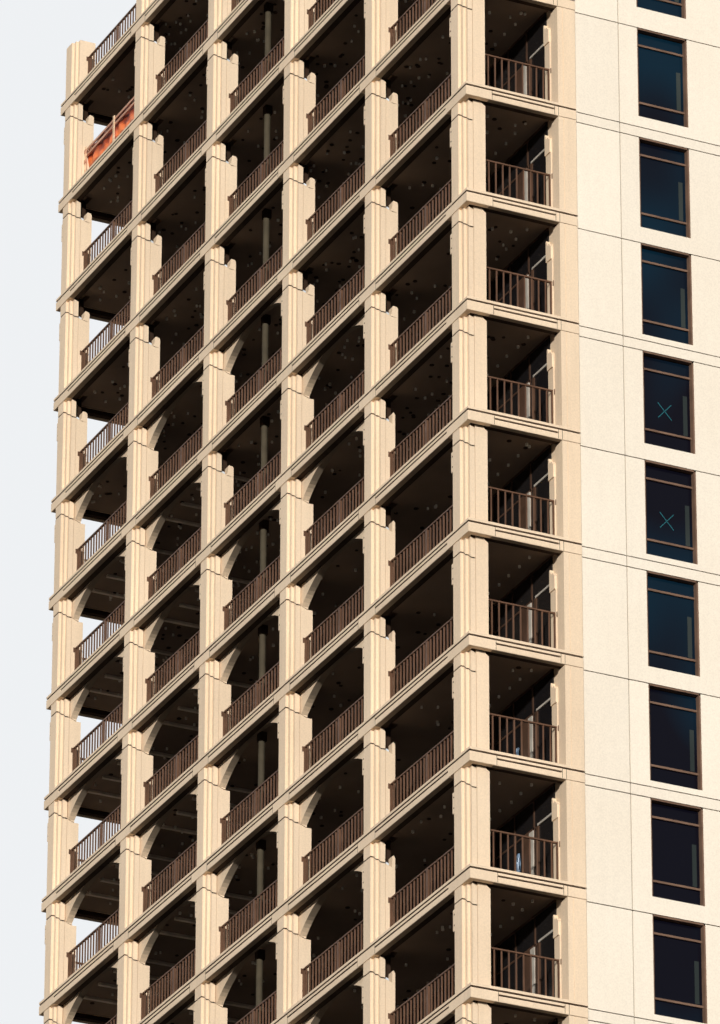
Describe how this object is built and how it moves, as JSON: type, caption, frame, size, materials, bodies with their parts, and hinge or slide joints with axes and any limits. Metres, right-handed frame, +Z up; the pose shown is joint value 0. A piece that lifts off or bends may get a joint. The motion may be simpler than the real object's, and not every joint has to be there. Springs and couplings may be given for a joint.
{
  "type": "apartment block scale model",
  "caption": "Scale model of an apartment block: stepped columns, edge beams with railed loggias, arch panels, and panelled side walls with tall windows.",
  "frame": {"origin": "middle of the underside of the ground slab, on the ground", "axes": "+Z up, +X along the front towards the picture's right, -Y out of the long front, millimetres of a 1:10 model"},
  "size_m": [2.65, 1.7, 4.29],
  "materials": {
    "precast": "matt pinkish beige precast concrete",
    "wall_panel": "matt pale cream precast concrete",
    "concrete": "matt grey-brown cast concrete",
    "bronze": "satin dark bronze paint",
    "guard_timber": "orange painted boards",
    "glass": "dark blue-black glass",
    "dark_glazing": "dark glazed wall"
  },
  "bodies": {
    "root": {"back_column_1": "precast", "back_column_2": "precast", "back_column_3": "precast", "back_column_4": "precast", "back_column_5": "precast", "back_column_6": "precast", "back_edge_beams": "precast", "back_glazing": "dark_glazing", "back_railings": "bronze", "front_arch_panels": "precast", "front_column_1": "precast", "front_column_2": "precast", "front_column_3": "precast", "front_column_4": "precast", "front_column_5": "precast", "front_column_6": "precast", "front_edge_beams": "precast", "front_glazing": "dark_glazing", "front_railings": "bronze", "ground_slab": "concrete", "high_floor_slabs": "concrete", "left_piers": "precast", "left_railings": "bronze", "left_wall_panels": "wall_panel", "left_windows": "glass", "low_floor_slabs": "concrete", "middle_floor_slabs": "concrete", "right_piers": "precast", "right_railings": "bronze", "right_wall_panels": "wall_panel", "right_windows": "glass", "roof_slab": "concrete", "temporary_guard": "guard_timber"}
  },
  "joints": []
}
